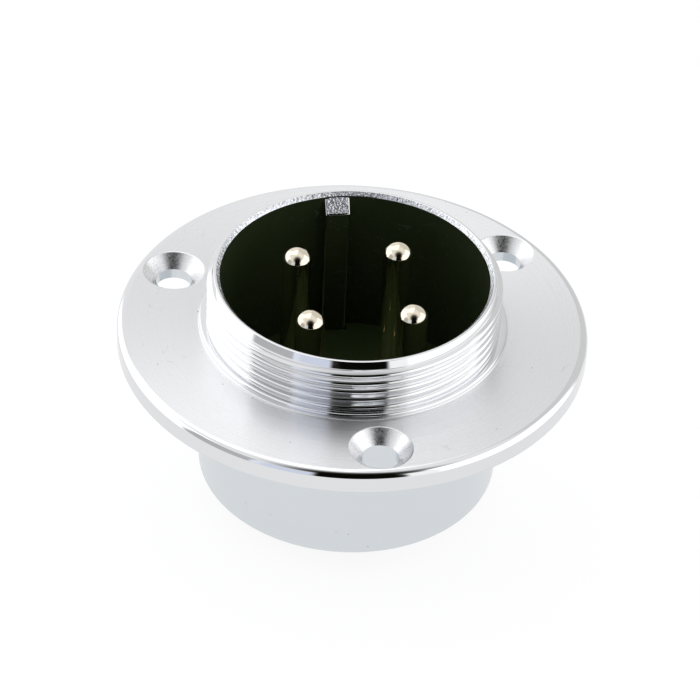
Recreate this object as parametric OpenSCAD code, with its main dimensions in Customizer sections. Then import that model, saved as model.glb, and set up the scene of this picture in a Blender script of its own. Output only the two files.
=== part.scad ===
// Four-contact circular connector receptacle for panel mounting, with a round three-hole flange.
// Millimetres. The axis of the connector is Z and it stands on the ends of its solder cups at z = 0.
// The mating end points up and the key is on the +Y side.

/* [Coupling barrel] */
// Major diameter of the coupling thread
thread_d = 30; // [24:0.5:40]
// Depth from the crest of the thread to the foot of the neck above it
thread_depth = 0.45; // [0.4:0.05:0.9]
// Angle in degrees between the bevel that starts the thread and the face of the flange
lead_angle = 35; // [30:1:45]
// Thickness of the barrel at the foot of the neck
neck_wall = 0.9; // [0.75:0.05:2]
// Height of the barrel above the flange
barrel_h = 6.1; // [4:0.1:14]
// Height of the plain neck
neck_h = 0.75; // [0.45:0.1:1.95]
// How far the neck narrows towards the rim
neck_taper = 0.25; // [0.05:0.05:0.35]
// How far the collar at the foot of the barrel stands out past the thread
collar_step = 0.7; // [0.4:0.05:1.2]
// Height of the collar
collar_h = 0.55; // [0.4:0.05:1]
// Width of the bevel inside the rim
rim_bevel = 0.38; // [0.1:0.02:0.5]

/* [Key] */
// Width of the key rib
key_w = 2.6; // [1.6:0.1:4]
// How far the key rib stands in from the bore
key_depth = 1.15; // [0.8:0.05:1.6]
// How far the sloped top of the key rib falls
key_drop = 1.95; // [0.5:0.05:4]

/* [Flange] */
// Thickness of the flange
flange_t = 2.4; // [2:0.1:5]
// Radius of the rounded front edge of the flange
flange_edge_r = 0.8; // [0.2:0.1:1.4]
// Distance from the collar to the middle of the screw holes
screw_land = 4.3; // [3.5:0.1:12]
// Distance from the middle of the screw holes to the edge of the flange
flange_rim = 4; // [3.3:0.1:12]
// Number of screw holes
screw_count = 3; // [2:1:6]
// Diameter of a screw hole
screw_hole_d = 3.7; // [2.5:0.1:4.6]
// Diameter of a countersink at the front face
countersink_d = 6.3; // [5:0.1:6.6]
// Included angle of a countersink in degrees
countersink_angle = 90; // [75:1:110]

/* [Skirt] */
// Length of the skirt behind the flange
skirt_h = 15.6; // [8.4:0.1:40]
// Thickness of the skirt's wall
skirt_wall = 1.45; // [1.1:0.05:3]
// Radius of the rounded end of the skirt
skirt_edge_r = 0.5; // [0.1:0.1:0.7]

/* [Insert] */
// Width of the step that the insulator is pushed up against
insert_step = 0.4; // [0.3:0.05:1]
// Thickness of the insulator
insulator_t = 4; // [3.3:0.1:8]
// Thickness of the plate behind the insulator
rear_plate_t = 1.4; // [1:0.1:3]
// Thickness of the retaining ring
ring_t = 0.8; // [0.6:0.1:1.2]
// Radial width of the retaining ring
ring_w = 1.9; // [1.2:0.1:2.3]
// Depth of the groove for the retaining ring
groove_depth = 0.5; // [0.3:0.05:0.6]
// Height of the lip below the groove
lip_h = 0.8; // [0.6:0.1:3]
// Length of the lug that stops the insulator from turning
lug_h = 3; // [1:0.1:3.6]

/* [Contacts] */
// Diameter of a contact pin
pin_d = 3; // [2:0.1:3.6]
// Distance between neighbouring contacts
pin_pitch = 10.45; // [8:0.05:12.6]
// How far the tips of the pins lie below the rim
tip_below_rim = 0.6; // [0:0.1:4]
// How far the seat of a contact in the insulator stands out past its pin
seat_step = 0.25; // [0.1:0.05:0.4]
// How far the trapped shoulder of a contact stands out past its pin
shoulder_step = 0.9; // [0.75:0.05:1.2]
// Height of the shoulder
shoulder_h = 1.2; // [1:0.1:2]
// Diameter of the hole in a solder cup
cup_hole_d = 2.6; // [2:0.1:3.1]
// Thickness of a solder cup's wall
cup_wall = 0.65; // [0.5:0.05:0.8]
// Depth of the hole in a solder cup
cup_hole_h = 5; // [4:0.1:6]
// Height of the side opening of a solder cup
cup_window_h = 3; // [1:0.1:3.6]
// How far the solder cups stand out of the skirt
cup_stickout = 3; // [2.5:0.1:8]

/* [Fit] */
// Gap round the insulator and the rear plate
insert_gap = 0.1; // [0.05:0.05:0.2]
// Gap round a contact in its holes
contact_gap = 0.03; // [0.02:0.01:0.1]
// Gap between the lug and its slot
slot_gap = 0.1; // [0.05:0.05:0.2]
// Gap round the retaining ring in its groove
ring_gap = 0.05; // [0.02:0.01:0.1]

/* [Hidden] */
$fn = 96;
cut = 1; // how far a cutting tool runs past a face
bite = 0.2; // how far a joined form sinks into its neighbour

thread_r = thread_d / 2;
neck_r = thread_r - thread_depth;
rim_r = neck_r - neck_taper;
bore_r = neck_r - neck_wall;
collar_r = thread_r + collar_step;
screw_r = collar_r + screw_land;
flange_r = screw_r + flange_rim;
insert_r = bore_r + insert_step;
skirt_r = insert_r + skirt_wall;

skirt_z = cup_stickout;
flange_z = skirt_z + skirt_h;
face_z = flange_z + flange_t;
rim_z = face_z + barrel_h;

ring_z = skirt_z + lip_h;
plate_z = ring_z + ring_t;
insulator_z = plate_z + rear_plate_t;
floor_z = insulator_z + insulator_t;

key_y = bore_r - key_depth;
flange_bevel = 0.2;
collar_edge_r = 0.25;
mouth_bevel = 0.3;

tip_z = rim_z - tip_below_rim;
seat_d = pin_d + 2 * seat_step;
shoulder_d = pin_d + 2 * shoulder_step;
cup_d = cup_hole_d + 2 * cup_wall;
contact_r = pin_pitch / sqrt(2);
drill_point_h = cup_hole_d / 2 / tan(59);
window_edge = 0.3; // how far past the middle of a cup its side opening starts

ring_opening = 34;
ear_r = 1.4;
ear_hole_d = 1.3;

// Half section of a disc whose upper edge is rounded
module disc_section(r, h, edge_r) {
    square([r - edge_r, h]);
    square([r, h - edge_r]);
    translate([r - edge_r, h - edge_r]) circle(edge_r);
}

// Places what follows at every screw of the flange, the first one opposite the key
module at_screws() {
    for (i = [0 : screw_count - 1])
        rotate([0, 0, -90 + i * 360 / screw_count])
            translate([screw_r, 0, 0])
                children();
}

// Turns what follows so that its +X side faces outward at contact i
module at_contact(i) {
    rotate([0, 0, 135 - 90 * (i - 1)])
        translate([contact_r, 0, 0])
            children();
}

module at_contacts() {
    for (i = [1 : 4])
        at_contact(i) children();
}

module shell_body_section() {
    // Skirt
    translate([0, flange_z + bite])
        mirror([0, 1])
            disc_section(skirt_r, skirt_h + bite, skirt_edge_r);
    // Flange
    difference() {
        translate([0, flange_z]) disc_section(flange_r, flange_t, flange_edge_r);
        polygon([
            [flange_r - flange_bevel - cut, flange_z - cut],
            [flange_r + cut, flange_z - cut],
            [flange_r + cut, flange_z + flange_bevel + cut]
        ]);
    }
    // Collar, thread and neck
    translate([0, face_z - bite]) disc_section(collar_r, collar_h + bite, collar_edge_r);
    lead_h = thread_depth * tan(lead_angle);
    polygon([
        [0, face_z],
        [thread_r, face_z],
        [thread_r, rim_z - neck_h - lead_h],
        [neck_r, rim_z - neck_h],
        [rim_r, rim_z],
        [0, rim_z]
    ]);
}

module shell_bore_section() {
    // Mating bore with its bevelled rim
    polygon([
        [0, floor_z - cut],
        [bore_r, floor_z - cut],
        [bore_r, rim_z - rim_bevel],
        [bore_r + rim_bevel, rim_z],
        [bore_r + rim_bevel, rim_z + cut],
        [0, rim_z + cut]
    ]);
    // Bore for the insert, open to the rear
    polygon([
        [0, skirt_z - cut],
        [insert_r + mouth_bevel, skirt_z - cut],
        [insert_r + mouth_bevel, skirt_z],
        [insert_r, skirt_z + mouth_bevel],
        [insert_r, floor_z],
        [0, floor_z]
    ]);
    // Groove for the retaining ring
    translate([0, ring_z]) square([insert_r + groove_depth, ring_t + ring_gap]);
}

module screw_hole() {
    sink_h = (countersink_d - screw_hole_d) / 2 / tan(countersink_angle / 2);
    run_out = cut * tan(countersink_angle / 2);
    translate([0, 0, flange_z - cut])
        cylinder(d = screw_hole_d, h = flange_t + 2 * cut);
    translate([0, 0, face_z - sink_h])
        cylinder(d1 = screw_hole_d, d2 = countersink_d, h = sink_h);
    translate([0, 0, face_z])
        cylinder(d1 = countersink_d, d2 = countersink_d + 2 * run_out, h = cut);
}

// Rib along the bore, with its sloped top, which runs on below the floor as the lug of the insulator
module key_rib() {
    rib_root = bore_r + rim_bevel;
    lug_root = insert_r + bite;
    translate([-key_w / 2, 0, 0])
        rotate([90, 0, 90])
            linear_extrude(height = key_w)
                polygon([
                    [key_y, floor_z - lug_h],
                    [lug_root, floor_z - lug_h],
                    [lug_root, floor_z + bite],
                    [rib_root, floor_z + bite],
                    [rib_root, rim_z],
                    [key_y, rim_z - key_drop]
                ]);
}

module shell() {
    color([0.86, 0.87, 0.9]) {
        difference() {
            rotate_extrude() shell_body_section();
            rotate_extrude() shell_bore_section();
            at_screws() screw_hole();
        }
        key_rib();
    }
}

module insulator() {
    r = insert_r - insert_gap;
    slot_h = lug_h + slot_gap;
    color([0.07, 0.12, 0.06])
        translate([0, 0, insulator_z])
            difference() {
                cylinder(r = r, h = insulator_t);
                translate([0, 0, -cut])
                    at_contacts() cylinder(d = seat_d + 2 * contact_gap, h = insulator_t + 2 * cut);
                translate([0, 0, -cut])
                    at_contacts() cylinder(d = shoulder_d + 2 * contact_gap, h = shoulder_h + cut);
                translate([-key_w / 2 - slot_gap, key_y - slot_gap, insulator_t - slot_h])
                    cube([key_w + 2 * slot_gap, r, slot_h + cut]);
            }
}

module insulator_rear_plate() {
    color([0.09, 0.15, 0.07])
        translate([0, 0, plate_z])
            difference() {
                cylinder(r = insert_r - insert_gap, h = rear_plate_t);
                translate([0, 0, -cut])
                    at_contacts() cylinder(d = cup_d + 2 * contact_gap, h = rear_plate_t + 2 * cut);
            }
}

// Sprung C-ring with two eared ends for pliers, open opposite the key
module retaining_ring() {
    outer_r = insert_r + groove_depth - ring_gap;
    ear_at = insert_r - ear_r - insert_gap;
    ear_angle = ring_opening / 2 + asin(ear_r / ear_at);
    color([0.62, 0.63, 0.64])
        translate([0, 0, ring_z])
            difference() {
                union() {
                    rotate([0, 0, -90 + ring_opening / 2])
                        rotate_extrude(angle = 360 - ring_opening)
                            translate([outer_r - ring_w, 0])
                                square([ring_w, ring_t]);
                    for (side = [-1, 1])
                        rotate([0, 0, -90 + side * ear_angle])
                            translate([ear_at, 0, 0])
                                cylinder(r = ear_r, h = ring_t);
                }
                for (side = [-1, 1])
                    rotate([0, 0, -90 + side * ear_angle])
                        translate([ear_at, 0, -cut])
                            cylinder(d = ear_hole_d, h = ring_t + 2 * cut);
            }
}

// Domed pin, its seat, the trapped shoulder and a solder cup whose open side faces outward
module contact(i) {
    pin_r = pin_d / 2;
    color([0.84, 0.81, 0.75])
        at_contact(i)
            difference() {
                union() {
                    cylinder(d = cup_d, h = insulator_z + bite);
                    translate([0, 0, insulator_z]) cylinder(d = shoulder_d, h = shoulder_h);
                    translate([0, 0, insulator_z]) cylinder(d = seat_d, h = insulator_t);
                    translate([0, 0, insulator_z]) cylinder(r = pin_r, h = tip_z - pin_r - insulator_z);
                    translate([0, 0, tip_z - pin_r]) sphere(pin_r);
                }
                translate([0, 0, -cut]) cylinder(d = cup_hole_d, h = cup_hole_h + cut);
                translate([0, 0, cup_hole_h])
                    cylinder(d1 = cup_hole_d, d2 = 0, h = drill_point_h);
                translate([window_edge, -cup_d / 2 - cut, -cut])
                    cube([cup_d, cup_d + 2 * cut, cup_window_h + cut]);
            }
}

shell();
insulator();
insulator_rear_plate();
retaining_ring();
contact(1);  // contact_pin_1
contact(2);  // contact_pin_2
contact(3);  // contact_pin_3
contact(4);  // contact_pin_4
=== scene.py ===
import math
import bpy
import bmesh
from mathutils import Matrix, Vector


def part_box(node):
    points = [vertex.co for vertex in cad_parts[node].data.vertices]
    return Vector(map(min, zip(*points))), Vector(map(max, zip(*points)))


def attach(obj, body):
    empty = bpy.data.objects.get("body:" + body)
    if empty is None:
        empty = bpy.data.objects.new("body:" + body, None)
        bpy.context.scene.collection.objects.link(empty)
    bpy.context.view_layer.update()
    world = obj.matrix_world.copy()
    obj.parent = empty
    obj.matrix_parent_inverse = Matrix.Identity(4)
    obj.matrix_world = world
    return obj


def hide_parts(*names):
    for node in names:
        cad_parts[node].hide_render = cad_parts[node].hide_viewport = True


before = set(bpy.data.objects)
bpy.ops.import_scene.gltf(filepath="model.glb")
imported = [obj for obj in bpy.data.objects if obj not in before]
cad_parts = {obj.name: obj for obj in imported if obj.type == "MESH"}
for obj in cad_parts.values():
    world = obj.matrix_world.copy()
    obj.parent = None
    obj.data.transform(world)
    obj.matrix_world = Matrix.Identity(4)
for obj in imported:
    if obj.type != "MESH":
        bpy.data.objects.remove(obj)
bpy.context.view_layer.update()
mm = 0.001


def addNode(tree, kind, inputs=None, **settings):  # a shader node with its inputs linked or set
    made = tree.nodes.new(kind)
    for setting, value in settings.items():
        setattr(made, setting, value)
    for socket, value in (inputs or {}).items():
        if isinstance(value, bpy.types.NodeSocket):
            tree.links.new(value, made.inputs[socket])
        else:
            made.inputs[socket].default_value = value
    return made


def calc(tree, operation, first, second=0.0):
    return addNode(tree, "ShaderNodeMath", {0: first, 1: second}, operation=operation).outputs[0]


def ramp(tree, value, low, high, start=0.0, end=1.0):  # smooth step from start to end
    sockets = {"Value": value, "From Min": low, "From Max": high, "To Min": start, "To Max": end}
    return addNode(tree, "ShaderNodeMapRange", sockets, interpolation_type="SMOOTHSTEP").outputs[0]


def blendColours(tree, share, first, second):
    sockets = {"Factor": share, 6: first, 7: second}
    return addNode(tree, "ShaderNodeMix", sockets, data_type="RGBA").outputs[2]


def rgba(colour, strength=1.0):
    return (*(strength * part for part in colour), 1)


def grey(level):
    return (level, level, level, 1)


viewpoint = {
    "aim": (0, 0, 21),  # middle of the flange's front face
    "distance": 360.475,
    "height": 38.67,  # degrees above the flange
    "swing": 9.63,  # degrees to the left of the key's side
    "roll": 2.9,
    "slide": (0.301, -2.968),  # how far the view slides across and up
    "lens": 182,
    "sensor": 36,
    "nearest": 10,  # anything closer than this is not drawn
}


def placeCamera():
    v = viewpoint
    height, swing, roll = (math.radians(v[angle]) for angle in ("height", "swing", "roll"))
    level = Vector((math.cos(swing), -math.sin(swing), 0))
    ahead = Vector((math.sin(swing) * math.cos(height),
                    math.cos(swing) * math.cos(height),
                    -math.sin(height)))
    above = level.cross(ahead)
    right = math.cos(roll) * level + math.sin(roll) * above
    up = math.cos(roll) * above - math.sin(roll) * level
    across, rise = v["slide"]
    place = Vector(v["aim"]) - v["distance"] * ahead - across * right + rise * up
    camera = bpy.data.objects.new("camera", bpy.data.cameras.new("camera"))
    camera.data.sensor_width = v["sensor"]
    camera.data.lens = v["lens"]
    camera.data.clip_start = v["nearest"] * mm
    turn = Matrix((right, up, -ahead)).transposed().to_4x4()
    camera.matrix_world = Matrix.Translation(place * mm) @ turn
    bpy.context.scene.collection.objects.link(camera)
    bpy.context.scene.camera = camera


placeCamera()
bpy.context.scene.view_settings.view_transform = "Standard"
print("camera placed")


# A white tent: a pale ceiling, bright windows at the sides and over the back, and the dark opening
# in front, whose shade reaches up over the ceiling. Angles are in degrees, sideways from the
# opening with the right positive, and up from the horizon.
studio = {
    "front": -99.63,  # compass angle of the opening, from +X
    "ceiling": (0.93, 0.93, 0.93),
    "ground": (0.93, 0.93, 0.93),
    "horizon": 4,  # how far ground and ceiling blend to each side of it
    "shade": {"aim": (8, 52), "core": 14, "reach": 40, "colour": (0.03, 0.028, 0.024)},
    # each panel: from, to, low, high, softness, colour
    "panels": [
        (40, 132, -26, 44, 3, (1.5, 1.5, 1.5)),  # right window
        (215, 290, -26, 44, 4, (1.5, 1.5, 1.5)),  # left window
        (118, 176, -12, 56, 6, (0.72, 0.72, 0.71)),  # dimmer cloth at the back right
        (172, 252, 44, 84, 5, (1.5, 1.5, 1.5)),  # window over the back
        (26, 42, -14, 33, 3, (1.1, 1.1, 1.09)),  # bright strip right of the opening
        (-76, -38, -14, 36, 3, (0.52, 0.52, 0.53)),  # dim flap left of the opening
        (-42, -37, -14, 40, 1, (0.85, 0.90, 1.0)),  # its cool edge
        (-37, -14, -14, 36, 2, (0.72, 0.77, 0.90)),  # cool strip between flap and opening
        (-14, 27, -9, 56, 2, (0.003, 0.003, 0.002)),  # the opening
    ],
    "paper": 0.93,  # grey of the floor
    "floorReach": 90,  # radius in mm
    "floorSides": 96,
    "floorDrop": 0.01,  # how far it lies under the object, in mm
    "floorGlow": 0.85,  # share of the floor's own white
    "floorWhite": 1.06,  # strength of that white towards the camera
    "floorShine": 0.94,  # and in the metal
}


def windowShare(tree, around, height, panel):  # 1 inside the panel, fading over its softness
    left, right, low, high, soft = panel
    edges = [ramp(tree, around, left - soft, left + soft),
             ramp(tree, around, right - soft, right + soft, 1, 0),
             ramp(tree, height, low - soft, low + soft),
             ramp(tree, height, high - soft, high + soft, 1, 0)]
    share = edges[0]
    for edge in edges[1:]:
        share = calc(tree, "MULTIPLY", share, edge)
    return share


def inDegrees(tree, angle):
    return calc(tree, "MULTIPLY", angle, math.degrees(1))


def studioWorld():
    world = bpy.data.worlds.new("studio")
    world.use_nodes = True
    tree = world.node_tree
    tree.nodes.clear()
    direction = addNode(tree, "ShaderNodeTexCoord").outputs["Generated"]
    turned = addNode(tree, "ShaderNodeVectorRotate",
                     {"Vector": direction, "Angle": -math.radians(studio["front"])},
                     rotation_type="Z_AXIS").outputs[0]
    parts = addNode(tree, "ShaderNodeSeparateXYZ", {0: turned}).outputs
    sideways = inDegrees(tree, calc(tree, "ARCTAN2", parts[1], parts[0]))
    around = calc(tree, "FLOORED_MODULO", sideways, 360)
    height = inDegrees(tree, calc(tree, "ARCSINE", parts[2]))
    shade = studio["shade"]
    aside, up = (math.radians(angle) for angle in shade["aim"])
    middle = (math.cos(up) * math.cos(aside), math.cos(up) * math.sin(aside), math.sin(up))
    along = addNode(tree, "ShaderNodeVectorMath", {0: turned, 1: middle},
                    operation="DOT_PRODUCT").outputs["Value"]
    away = inDegrees(tree, calc(tree, "ARCCOSINE", along))
    share = ramp(tree, away, shade["core"], shade["reach"])
    colour = blendColours(tree, share, rgba(shade["colour"]), rgba(studio["ceiling"]))
    share = ramp(tree, height, -studio["horizon"], studio["horizon"])
    colour = blendColours(tree, share, rgba(studio["ground"]), colour)
    for *panel, tint in studio["panels"]:
        behind = panel[1] > 180
        share = windowShare(tree, around if behind else sideways, height, panel)
        colour = blendColours(tree, share, colour, rgba(tint))
    seen = addNode(tree, "ShaderNodeLightPath").outputs["Is Camera Ray"]
    colour = blendColours(tree, seen, colour, grey(1))
    light = addNode(tree, "ShaderNodeBackground", {"Color": colour, "Strength": 1.0})
    out = addNode(tree, "ShaderNodeOutputWorld")
    tree.links.new(light.outputs[0], out.inputs["Surface"])
    bpy.context.scene.world = world


def floorPaper():
    material = bpy.data.materials.new("floorPaper")
    material.use_nodes = True
    tree = material.node_tree
    tree.nodes.clear()
    path = addNode(tree, "ShaderNodeLightPath").outputs
    seen = calc(tree, "MAXIMUM", path["Is Camera Ray"], path["Is Glossy Ray"])
    seen = calc(tree, "MAXIMUM", seen, path["Is Transmission Ray"])
    strength = ramp(tree, path["Is Camera Ray"], 0, 1, studio["floorShine"], studio["floorWhite"])
    glow = addNode(tree, "ShaderNodeEmission", {"Color": grey(1), "Strength": strength})
    paper = addNode(tree, "ShaderNodeBsdfDiffuse", {"Color": grey(studio["paper"])})
    share = calc(tree, "MULTIPLY", seen, studio["floorGlow"])
    mix = addNode(tree, "ShaderNodeMixShader", {0: share, 1: paper.outputs[0], 2: glow.outputs[0]})
    out = addNode(tree, "ShaderNodeOutputMaterial")
    tree.links.new(mix.outputs[0], out.inputs["Surface"])
    return material


def studioFloor():
    mesh = bpy.data.meshes.new("floor")
    shape = bmesh.new()
    bmesh.ops.create_circle(shape, cap_ends=True, segments=studio["floorSides"],
                            radius=studio["floorReach"] * mm)
    shape.to_mesh(mesh)
    shape.free()
    mesh.materials.append(floorPaper())
    floor = bpy.data.objects.new("floor", mesh)
    bpy.context.scene.collection.objects.link(floor)
    floor.location.z = -studio["floorDrop"] * mm


studioWorld()
studioFloor()
print("studio ready")


dirt = {
    "speck": (0.10, 0.10, 0.10),  # dark specks in the plating
    "dust": (0.3, 0.3, 0.3),  # pale dust on the green parts
}


def startMaterial(name, colour, roughness, metallic=1.0):
    material = bpy.data.materials.new(name)
    material.use_nodes = True
    tree = material.node_tree
    shader = tree.nodes["Principled BSDF"]
    shader.inputs["Base Color"].default_value = rgba(colour)
    shader.inputs["Roughness"].default_value = roughness
    shader.inputs["Metallic"].default_value = metallic
    place = addNode(tree, "ShaderNodeTexCoord").outputs["Object"]
    return material, tree, shader, place


def noise(tree, place, size, detail=2.0):  # size of a grain in mm
    return addNode(tree, "ShaderNodeTexNoise",
                   {"Vector": place, "Scale": 1 / (size * mm), "Detail": detail}).outputs["Fac"]


def rings(tree, place, size):  # noise that varies only with height and distance from the axis
    parts = addNode(tree, "ShaderNodeSeparateXYZ", {0: place}).outputs
    flat = addNode(tree, "ShaderNodeCombineXYZ", {0: parts[0], 1: parts[1], 2: 0.0}).outputs[0]
    reach = addNode(tree, "ShaderNodeVectorMath", {0: flat}, operation="LENGTH").outputs["Value"]
    line = addNode(tree, "ShaderNodeCombineXYZ", {0: reach, 1: 0.0, 2: parts[2]}).outputs[0]
    return noise(tree, line, size, 3.0)


def specks(tree, place, spacing, size, share):  # 1 inside a few scattered specks, sizes in mm
    cells = addNode(tree, "ShaderNodeTexVoronoi", {"Vector": place, "Scale": 1 / (spacing * mm)})
    edge = size / spacing
    spot = ramp(tree, cells.outputs["Distance"], edge * 0.6, edge, 1, 0)
    chance = addNode(tree, "ShaderNodeSeparateColor", {0: cells.outputs["Color"]}).outputs[0]
    return calc(tree, "MULTIPLY", spot, calc(tree, "LESS_THAN", chance, share))


def hairlines(tree, place, stretch, spacing, width, strength):  # thin scratches, spacing in mm
    longer = addNode(tree, "ShaderNodeMapping",
                     {"Vector": place, "Rotation": (0.3, 0.2, 0.6), "Scale": stretch})
    wander = noise(tree, longer.outputs[0], spacing, 0.0)
    away = calc(tree, "ABSOLUTE", calc(tree, "SUBTRACT", wander, 0.5))
    line = ramp(tree, away, 0.0, width, 1, 0)
    patches = ramp(tree, noise(tree, place, spacing * 0.7, 0.0), 0.52, 0.62)  # only here and there
    return calc(tree, "MULTIPLY", calc(tree, "MULTIPLY", line, patches), strength)


def roughen(tree, shader, pattern, low, high, start, end):
    tree.links.new(ramp(tree, pattern, low, high, start, end), shader.inputs["Roughness"])


def paint(tree, shader, colour):
    tree.links.new(colour, shader.inputs["Base Color"])


def speckle(tree, shader, colour, mark):
    paint(tree, shader, blendColours(tree, mark, rgba(colour), rgba(dirt["speck"])))


def bumps(tree, shader, height, depth):  # depth in mm
    bump = addNode(tree, "ShaderNodeBump",
                   {"Height": height, "Distance": depth * mm, "Strength": 1.0})
    tree.links.new(bump.outputs[0], shader.inputs["Normal"])


# In each finish the sizes of its patterns are in mm, "vary" gives the two ends of a pattern and the
# roughness at each, and "specks" gives their spacing, their size and the share that shows.
polish = {
    "colour": (0.80, 0.805, 0.82),
    "roughness": 0.06,
    "hazeSize": 1.5,
    "vary": (0.4, 0.75, 0.04, 0.1),
    "specks": (0.9, 0.05, 0.25),
    "waveSize": 1.2,
    "waveDepth": 0.002,
}


def polishedPlating():
    p = polish
    material, tree, shader, place = startMaterial("polishedPlating", p["colour"], p["roughness"])
    roughen(tree, shader, noise(tree, place, p["hazeSize"]), *p["vary"])
    speckle(tree, shader, p["colour"], specks(tree, place, *p["specks"]))
    bumps(tree, shader, noise(tree, place, p["waveSize"], 1.0), p["waveDepth"])
    return material


turning = {
    "roughness": 0.3,
    "stretch": 0.85,  # how far the lathe marks draw a highlight out
    "rotation": 0.25,
    "ringSize": 0.25,
    "vary": (0.3, 0.7, 0.26, 0.33),
    "specks": (1.3, 0.07, 0.3),
    "scratches": ((1, 0.35, 1), 1.6, 0.005, 0.16),  # stretch, spacing, width, strength
    "markSize": 0.1,
    "markDepth": 0.0008,
}


def turnedFace():
    t = turning
    material, tree, shader, place = startMaterial("turnedFace", polish["colour"], t["roughness"])
    shader.inputs["Anisotropic"].default_value = t["stretch"]
    shader.inputs["Anisotropic Rotation"].default_value = t["rotation"]
    tangent = addNode(tree, "ShaderNodeTangent", direction_type="RADIAL", axis="Z")
    tree.links.new(tangent.outputs[0], shader.inputs["Tangent"])
    roughen(tree, shader, rings(tree, place, t["ringSize"]), *t["vary"])
    scratches = hairlines(tree, place, *t["scratches"])
    mark = calc(tree, "MAXIMUM", specks(tree, place, *t["specks"]), scratches)
    speckle(tree, shader, polish["colour"], mark)
    bumps(tree, shader, rings(tree, place, t["markSize"]), t["markDepth"])
    return material


casting = {  # the unfinished grain of the key's top and of the bevel inside the rim
    "colour": (0.78, 0.80, 0.845),
    "roughness": 0.22,
    "pitSize": 0.3,
    "pits": (0.3, 0.55, 0.6, 1),  # ends of the pattern, and how much plating shows at each
    "pitGrey": 0.1,
    "grainSize": 0.25,
    "grainDepth": 0.12,
}


def castGrain():
    c = casting
    material, tree, shader, place = startMaterial("castGrain", c["colour"], c["roughness"])
    plated = ramp(tree, noise(tree, place, c["pitSize"]), *c["pits"])
    paint(tree, shader, blendColours(tree, plated, grey(c["pitGrey"]), rgba(c["colour"])))
    bumps(tree, shader, noise(tree, place, c["grainSize"], 3.0), c["grainDepth"])
    return material


sinking = {
    "roughness": 0.3,
    "hazeSize": 0.2,
    "vary": (0.3, 0.7, 0.25, 0.35),
    "specks": (0.6, 0.05, 0.3),
    "grainSize": 0.09,
    "grainDepth": 0.006,
}


def sinkFace():
    s = sinking
    material, tree, shader, place = startMaterial("sinkFace", polish["colour"], s["roughness"])
    roughen(tree, shader, noise(tree, place, s["hazeSize"]), *s["vary"])
    speckle(tree, shader, polish["colour"], specks(tree, place, *s["specks"]))
    bumps(tree, shader, noise(tree, place, s["grainSize"]), s["grainDepth"])
    return material


boreCoat = {
    "colour": (0.021, 0.030, 0.012),
    "roughness": 0.3,
    "specular": 0.25,
    "mottleSize": 1.0,
    "pale": 1.3,  # strength of the colour where the mottling is palest
    "specks": (0.4, 0.07, 0.3),
    "scratches": ((0.3, 0.3, 1), 3.0, 0.004, 0.5),
    "dustShare": 0.35,
    "waveSize": 0.3,
    "waveDepth": 0.001,
}


def boreWall():
    b = boreCoat
    material, tree, shader, place = startMaterial("boreWall", b["colour"], b["roughness"], 0.0)
    shader.inputs["Specular IOR Level"].default_value = b["specular"]
    dust = specks(tree, place, *b["specks"])
    scratches = hairlines(tree, place, *b["scratches"])
    mark = calc(tree, "MULTIPLY", calc(tree, "MAXIMUM", dust, scratches), b["dustShare"])
    coat = blendColours(tree, noise(tree, place, b["mottleSize"]),
                        rgba(b["colour"]), rgba(b["colour"], b["pale"]))
    paint(tree, shader, blendColours(tree, mark, coat, rgba(dirt["dust"])))
    bumps(tree, shader, noise(tree, place, b["waveSize"], 1.0), b["waveDepth"])
    return material


skirtCoat = {
    "colour": (0.725, 0.76, 0.79),
    "roughness": 0.22,
    "ringSize": 0.4,
    "vary": (0.3, 0.7, 0.2, 0.26),
    "specks": (1.1, 0.07, 0.3),
    "waveSize": 0.3,
    "waveDepth": 0.001,
}


def skirtSatin():
    s = skirtCoat
    material, tree, shader, place = startMaterial("skirtSatin", s["colour"], s["roughness"])
    roughen(tree, shader, rings(tree, place, s["ringSize"]), *s["vary"])
    speckle(tree, shader, s["colour"], specks(tree, place, *s["specks"]))
    bumps(tree, shader, noise(tree, place, s["waveSize"]), s["waveDepth"])
    return material


contactCoat = {
    "colour": (0.84, 0.77, 0.63),
    "roughness": 0.07,
    "ringSize": 0.3,
    "vary": (0.3, 0.7, 0.05, 0.1),
    "specks": (0.6, 0.04, 0.2),
    "waveSize": 0.6,
    "waveDepth": 0.001,
}


def contactPlating():
    c = contactCoat
    material, tree, shader, place = startMaterial("contactPlating", c["colour"], c["roughness"])
    roughen(tree, shader, rings(tree, place, c["ringSize"]), *c["vary"])
    speckle(tree, shader, c["colour"], specks(tree, place, *c["specks"]))
    bumps(tree, shader, noise(tree, place, c["waveSize"], 1.0), c["waveDepth"])
    return material


greenPlastic = {
    "colour": (0.026, 0.041, 0.013),
    "roughness": 0.35,
    "specular": 0.25,
    "mottleSize": 0.8,
    "pale": 1.35,
    "specks": (0.5, 0.05, 0.15),
    "dustShare": 0.4,
    "grainSize": 0.2,
    "grainDepth": 0.003,
}


def mouldedGreen():
    g = greenPlastic
    material, tree, shader, place = startMaterial("mouldedGreen", g["colour"], g["roughness"], 0.0)
    shader.inputs["Specular IOR Level"].default_value = g["specular"]
    mottle = blendColours(tree, noise(tree, place, g["mottleSize"]),
                          rgba(g["colour"]), rgba(g["colour"], g["pale"]))
    dust = calc(tree, "MULTIPLY", specks(tree, place, *g["specks"]), g["dustShare"])
    paint(tree, shader, blendColours(tree, dust, mottle, rgba(dirt["dust"])))
    bumps(tree, shader, noise(tree, place, g["grainSize"]), g["grainDepth"])
    return material


ringWire = {
    "colour": (0.50, 0.50, 0.51),
    "roughness": 0.3,
    "hazeSize": 0.5,
    "vary": (0.35, 0.7, 0.22, 0.4),
    "specks": (0.8, 0.08, 0.3),
    "grainSize": 0.1,
    "grainDepth": 0.001,
}


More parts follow.
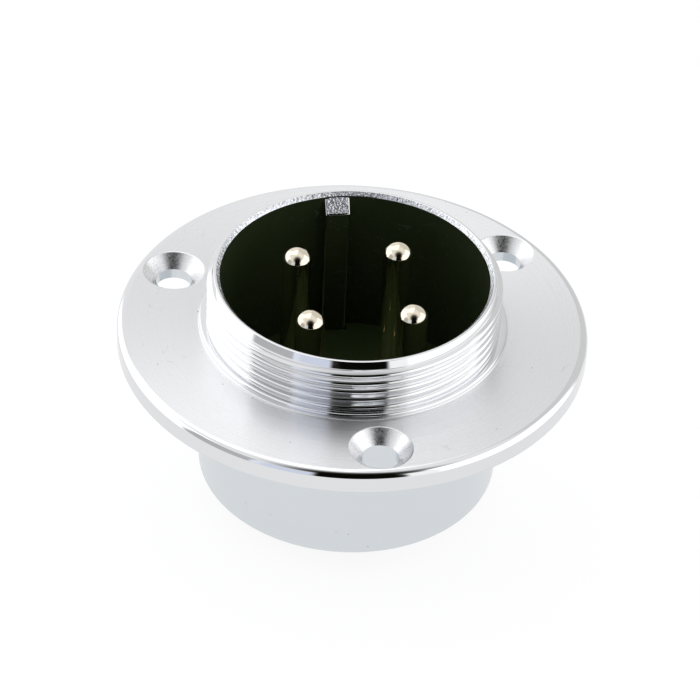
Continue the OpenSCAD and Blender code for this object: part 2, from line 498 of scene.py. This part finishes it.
def springSteel():
    r = ringWire
    material, tree, shader, place = startMaterial("springSteel", r["colour"], r["roughness"])
    roughen(tree, shader, noise(tree, place, r["hazeSize"]), *r["vary"])
    speckle(tree, shader, r["colour"], specks(tree, place, *r["specks"]))
    bumps(tree, shader, noise(tree, place, r["grainSize"]), r["grainDepth"])
    return material


shellFinishes = [polishedPlating(), turnedFace(), castGrain(), boreWall(), skirtSatin(), sinkFace()]
polished, turnedFlange, cast, bore, satin, sunk = range(len(shellFinishes))
contactMetal = contactPlating()
insulatorPlastic = mouldedGreen()
ringSteel = springSteel()
print("finishes mixed")


weldGap = 0.0005  # corners closer than this become one


def arc(centreR, centreZ, radius, start, end, steps=8):  # points of an arc, angles in degrees
    turns = [math.radians(start + (end - start) * i / steps) for i in range(steps + 1)]
    return [(centreR + radius * math.cos(t), centreZ + radius * math.sin(t)) for t in turns]


def addPiece(name, mesh):
    piece = bpy.data.objects.new(name, mesh)
    bpy.context.scene.collection.objects.link(piece)
    return piece


def turnedPiece(name, outline, materials, columns=256):  # outline: (finish, points) pairs
    mesh = bpy.data.meshes.new(name)
    for material in materials:
        mesh.materials.append(material)
    shape = bmesh.new()
    before = None
    for step in range(columns + 1):
        turn = step / columns
        across, along = math.cos(2 * math.pi * turn), math.sin(2 * math.pi * turn)
        column = []
        for slot, points in outline:
            for radius, height in (points(turn) if callable(points) else points):
                place = (radius * across * mm, radius * along * mm, height * mm)
                column.append((shape.verts.new(place), slot))
        if before:
            for low in range(len(column) - 1):
                high = low + 1
                face = shape.faces.new((before[low][0], column[low][0],
                                        column[high][0], before[high][0]))
                face.material_index = column[high][1]
        before = column
    bmesh.ops.remove_doubles(shape, verts=shape.verts, dist=weldGap * mm)
    bmesh.ops.recalc_face_normals(shape, faces=shape.faces)
    shape.to_mesh(mesh)
    shape.free()
    return addPiece(name, mesh)


def applyModifiers(piece):
    graph = bpy.context.evaluated_depsgraph_get()
    mesh = bpy.data.meshes.new_from_object(piece.evaluated_get(graph))
    piece.modifiers.clear()
    piece.data = mesh


def combine(piece, tool, operation):
    step = piece.modifiers.new("step", "BOOLEAN")
    step.operation = operation
    step.solver = "EXACT"
    step.material_mode = "TRANSFER"
    step.object = tool
    applyModifiers(piece)
    bpy.data.objects.remove(tool)


def crisp(piece, angle=30):  # smooth shading with sharp edges above the angle
    shape = bmesh.new()
    shape.from_mesh(piece.data)
    for face in shape.faces:
        face.smooth = True
    for edge in shape.edges:
        edge.smooth = edge.calc_face_angle(0) < math.radians(angle)
    shape.to_mesh(piece.data)
    shape.free()
    even = piece.modifiers.new("even", "WEIGHTED_NORMAL")
    even.keep_sharp = True
    applyModifiers(piece)


# All sizes below are in mm, and heights count from the ends of the solder cups.
shellLow, shellHigh = (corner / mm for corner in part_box("shell"))
shell = {
    "rimTop": shellHigh.z,
    "flangeRadius": 24.0,
    "flangeTop": 21.0,
    "flangeUnder": 18.6,
    "flangeEdge": 0.8,  # radius of its rounded front edge
    "flangeBevel": 0.2,  # and of its back edge
    "skirtRadius": 15.5,
    "skirtEnd": shellLow.z,
    "skirtEdge": 0.5,
    "collarRadius": 15.7,
    "collarTop": 21.55,
    "collarEdge": 0.25,
    "threadRadius": 15.0,
    "threadPitch": 1.0,
    "crest": 0.3,  # radius of the thread's rounded crest
    "crestSteps": 5,
    "flank": 62,  # how steeply a flank faces up, in degrees
    "crestHeight": 22.70,  # of a crest at the front
    "frontTurn": 0.7232,  # where the front is, as a share of a turn
    "neckRadius": 14.55,
    "neckLow": 26.35,
    "leadAngle": 30,
    "rimRadius": 14.3,
    "rimLean": 18,  # where the rim's rounded edge starts on the conical neck, in degrees
    "rimFlat": 14.03,
    "rimBevel": 0.38,
    "boreRadius": 13.65,
    "floor": 10.0,
    "insertRadius": 14.05,
    "grooveRadius": 14.55,
    "groove": (3.8, 4.65),
    "mouthBevel": 0.3,
    "fillet": 0.15,
    "softEdge": 0.08,
}


def threadForm():  # one pitch from root to root: height from the crest's middle, depth below it
    s = shell
    steps = s["crestSteps"]
    turns = [math.radians(s["flank"] * step / steps) for step in range(-steps, steps + 1)]
    crest = [(s["crest"] * math.sin(t), s["crest"] * (1 - math.cos(t))) for t in turns]
    deep = s["threadRadius"] - s["neckRadius"]
    foot = crest[-1][0] + (deep - crest[-1][1]) / math.tan(turns[-1])
    return [(-foot, deep)] + crest + [(foot, deep)]


def meeting(first, second, over):  # point between two others where over() passes through zero
    share = over(first) / (over(first) - over(second))
    return tuple(a + (b - a) * share for a, b in zip(first, second))


def threadPoints(turn):  # section of the thread at this share of a turn, between collar and neck
    s = shell
    low, high, pitch = s["collarTop"], s["neckLow"], s["threadPitch"]
    lead = 1 / math.tan(math.radians(s["leadAngle"]))
    spare = 3  # the helix starts this many pitches lower, well below the collar
    lowest = s["crestHeight"] + pitch * (turn - s["frontTurn"] - spare)
    points = [(s["threadRadius"] - depth, lowest + pitch * count + rise)
              for count in range(math.ceil((high - low) / pitch) + spare)
              for rise, depth in threadForm()]

    def underCollar(point):
        return low - point[1]

    def overLead(point):
        return point[0] - s["neckRadius"] - (high - point[1]) * lead

    # points outside are gathered at the crossing, so that every column has as many points
    first = max(i for i, point in enumerate(points) if underCollar(point) > 0)
    points[:first + 1] = [meeting(points[first], points[first + 1], underCollar)] * (first + 1)
    last = max(i for i, point in enumerate(points) if overLead(point) < 0)
    beyond = len(points) - last - 1
    points[last + 1:] = [meeting(points[last], points[last + 1], overLead)] * beyond
    return points + [(s["neckRadius"], high)]


def shellOutline():
    s = shell
    fillet, soft = s["fillet"], s["softEdge"]
    skirtEdge, flangeBevel, flangeEdge = s["skirtEdge"], s["flangeBevel"], s["flangeEdge"]
    inset = soft * (1 - math.sqrt(0.5))
    corner = soft * math.tan(math.radians(22.5))  # how far back a rounded 45 degree corner starts
    bevelFoot = s["rimTop"] - s["rimBevel"]
    return [
        (satin, arc(s["skirtRadius"] - skirtEdge, s["skirtEnd"] + skirtEdge, skirtEdge, -90, 0)),
        (satin, arc(s["skirtRadius"] + fillet, s["flangeUnder"] - fillet, fillet, 180, 90, 5)),
        (satin, arc(s["flangeRadius"] - flangeBevel, s["flangeUnder"] + flangeBevel,
                    flangeBevel, -90, 0, 5)),
        (polished, arc(s["flangeRadius"] - flangeEdge, s["flangeTop"] - flangeEdge,
                       flangeEdge, 0, 90, 12)),
        (turnedFlange, arc(s["collarRadius"] + fillet, s["flangeTop"] + fillet,
                           fillet, -90, -180, 5)),
        (polished, arc(s["collarRadius"] - s["collarEdge"], s["collarTop"] - s["collarEdge"],
                       s["collarEdge"], 0, 90, 6)),
        (polished, threadPoints),
        (polished, arc(s["rimRadius"] - soft, s["rimTop"] - soft, soft, s["rimLean"], 90, 5)),
        (polished, arc(s["rimFlat"] + corner, s["rimTop"] - soft, soft, 90, 135, 4)),
        (cast, [(s["boreRadius"] + inset, bevelFoot + inset)]),
        (polished, arc(s["boreRadius"] + soft, bevelFoot - corner, soft, 135, 180, 4)),
        (bore, [(s["boreRadius"], s["floor"])]),
        (satin, [(s["insertRadius"], s["floor"]),
                 (s["insertRadius"], s["groove"][1]),
                 (s["grooveRadius"], s["groove"][1]),
                 (s["grooveRadius"], s["groove"][0]),
                 (s["insertRadius"], s["groove"][0]),
                 (s["insertRadius"], s["skirtEnd"] + s["mouthBevel"]),
                 (s["insertRadius"] + s["mouthBevel"], s["skirtEnd"]),
                 (s["skirtRadius"] - skirtEdge, s["skirtEnd"])]),
    ]


screwHole = {
    "circle": 20.0,  # radius of the circle the holes lie on
    "count": 3,
    "first": -90,  # direction of the first one, in degrees
    "radius": 1.85,
    "sinkRadius": 3.15,
    "edge": 0.25,  # radius of the rounded edge of the countersink
    "edgeLean": (135, 97),  # where that edge starts and ends, in degrees
    "run": 1.0,  # how far the cutter runs past the flange
    "flare": 0.1,  # and how much wider it gets there
    "columns": 64,
}


def screwCutter(angle):
    h = screwHole
    top, under = shell["flangeTop"], shell["flangeUnder"] - h["run"]
    back = h["edge"] * math.tan(math.radians(22.5))
    edge = arc(h["sinkRadius"] + back, top - h["edge"], h["edge"], *h["edgeLean"], 5)
    outline = [
        (satin, [(0, under), (h["radius"], under),
                 (h["radius"], top - (h["sinkRadius"] - h["radius"]))]),
        (sunk, edge),
        (sunk, [(edge[-1][0] + h["flare"], top + h["run"]), (0, top + h["run"])]),
    ]
    cutter = turnedPiece("cutter", outline, shellFinishes, h["columns"])
    cutter.data.transform(Matrix.Rotation(math.radians(angle), 4, "Z")
                          @ Matrix.Translation((h["circle"] * mm, 0, 0)))
    return cutter


keyRib = {
    "width": 2.6,
    "face": 12.5,  # distance of its face from the axis
    "drop": 1.95,  # fall of its sloped top
    "below": 0.02,  # how far the slope starts under the rim
    "lugLow": 7.0,
    "lugRoot": 14.25,
    "bite": 0.2,  # how far the lug's back reaches up past the bore's floor
    "edge": 0.16,
    "edgeSteps": 4,
}


def ribPiece():
    k, s = keyRib, shell
    foot = s["floor"] + k["bite"]
    section = [(k["face"], k["lugLow"]), (k["lugRoot"], k["lugLow"]), (k["lugRoot"], foot),
               (s["rimFlat"], foot), (s["rimFlat"], s["rimTop"] - k["below"]),
               (k["face"], s["rimTop"] - k["drop"])]
    mesh = bpy.data.meshes.new("rib")
    for material in shellFinishes:
        mesh.materials.append(material)
    shape = bmesh.new()
    left, right = [[shape.verts.new((x * mm, y * mm, z * mm)) for y, z in section]
                   for x in (-k["width"] / 2, k["width"] / 2)]
    shape.faces.new(left)
    shape.faces.new(list(reversed(right)))
    count = len(section)
    for i in range(count):
        j = (i + 1) % count
        face = shape.faces.new((left[i], right[i], right[j], left[j]))
        face.material_index = cast if i == count - 2 else bore
    bmesh.ops.recalc_face_normals(shape, faces=shape.faces)
    ridges = [(left[-1], left[-2]), (right[-1], right[-2]), (left[-1], right[-1]),
              (left[-1], left[0]), (right[-1], right[0])]
    bmesh.ops.bevel(shape, geom=[shape.edges.get(ridge) for ridge in ridges],
                    offset=k["edge"] * mm, segments=k["edgeSteps"], profile=0.5,
                    affect="EDGES", material=polished)
    shape.to_mesh(mesh)
    shape.free()
    return addPiece("rib", mesh)


def makeShell():
    piece = turnedPiece("shell_plated", shellOutline(), shellFinishes)
    for number in range(screwHole["count"]):
        angle = screwHole["first"] + number * 360 / screwHole["count"]
        combine(piece, screwCutter(angle), "DIFFERENCE")
    combine(piece, ribPiece(), "UNION")
    crisp(piece)
    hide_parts("shell")
    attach(piece, "root")
    return piece


shellPiece = makeShell()
print("shell made,", len(shellPiece.data.polygons), "faces")


contact = {
    "circle": 10.45 / math.sqrt(2),  # half the diagonal of the pins' square
    "first": 135,  # direction of the first one, in degrees; the rest follow clockwise
    "columns": 96,
    "cupRadius": 1.95,
    "cupHole": 1.3,
    "cupDepth": 5.0,
    "cupEdge": 0.12,
    "drillPoint": 0.78,
    "shoulder": (2.4, 6.0, 7.2),  # radius, foot and top
    "seatRadius": 1.75,
    "seatTop": 10.0,
    "pinRadius": 1.5,
    "tip": 26.48,
    "crown": 1.65,  # radius of the domed end
    "corner": 0.15,
    "windowEdge": 0.3,  # the solder cup is cut open from here outwards
    "windowHeight": 3.0,
    "windowReach": 3.0,
}


def contactOutline():
    c = contact
    radius, foot, top = c["shoulder"]
    cupEdge, corner = c["cupEdge"], c["corner"]
    # the crown and the corner round it touch where both lean by the same angle
    lean = math.degrees(math.acos((c["pinRadius"] - corner) / (c["crown"] - corner)))
    crownMiddle = c["tip"] - c["crown"]
    crownFoot = crownMiddle + (c["crown"] - corner) * math.sin(math.radians(lean))
    return [
        (0, [(0, c["cupDepth"] + c["drillPoint"]), (c["cupHole"], c["cupDepth"]),
             (c["cupHole"], cupEdge)]),
        (0, arc(c["cupHole"] + cupEdge, cupEdge, cupEdge, 180, 270, 3)),
        (0, arc(c["cupRadius"] - cupEdge, cupEdge, cupEdge, -90, 0, 3)),
        (0, [(c["cupRadius"], foot), (radius, foot), (radius, top), (c["seatRadius"], top),
             (c["seatRadius"], c["seatTop"]), (c["pinRadius"], c["seatTop"])]),
        (0, arc(c["pinRadius"] - corner, crownFoot, corner, 0, lean, 6)),
        (0, arc(0, crownMiddle, c["crown"], lean, 90, 24)),
    ]


def windowCutter():  # a block that opens one side of the solder cup
    c = contact
    reach = c["windowReach"]
    mesh = bpy.data.meshes.new("cutter")
    shape = bmesh.new()
    bmesh.ops.create_cube(shape, size=1)
    shape.to_mesh(mesh)
    shape.free()
    middle = ((c["windowEdge"] + reach / 2) * mm, 0, (c["windowHeight"] - reach) * mm)
    mesh.transform(Matrix.Translation(middle)
                   @ Matrix.Diagonal((reach * mm, 2 * reach * mm, 2 * reach * mm, 1)))
    return addPiece("cutter", mesh)


def makeContact(number):
    name = "contact_pin_%d" % number
    piece = turnedPiece(name + "_plated", contactOutline(), [contactMetal], contact["columns"])
    combine(piece, windowCutter(), "DIFFERENCE")
    angle = contact["first"] - 90 * (number - 1)
    piece.data.transform(Matrix.Rotation(math.radians(angle), 4, "Z")
                         @ Matrix.Translation((contact["circle"] * mm, 0, 0)))
    crisp(piece)
    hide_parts(name)
    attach(piece, "root")


for number in range(1, 5):
    makeContact(number)
print("contacts made")


def dress(node, material):
    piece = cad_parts[node]
    piece.data.materials.clear()
    piece.data.materials.append(material)


dress("insulator", insulatorPlastic)
dress("insulator_rear_plate", insulatorPlastic)
dress("retaining_ring", ringSteel)

print("all pieces in place")
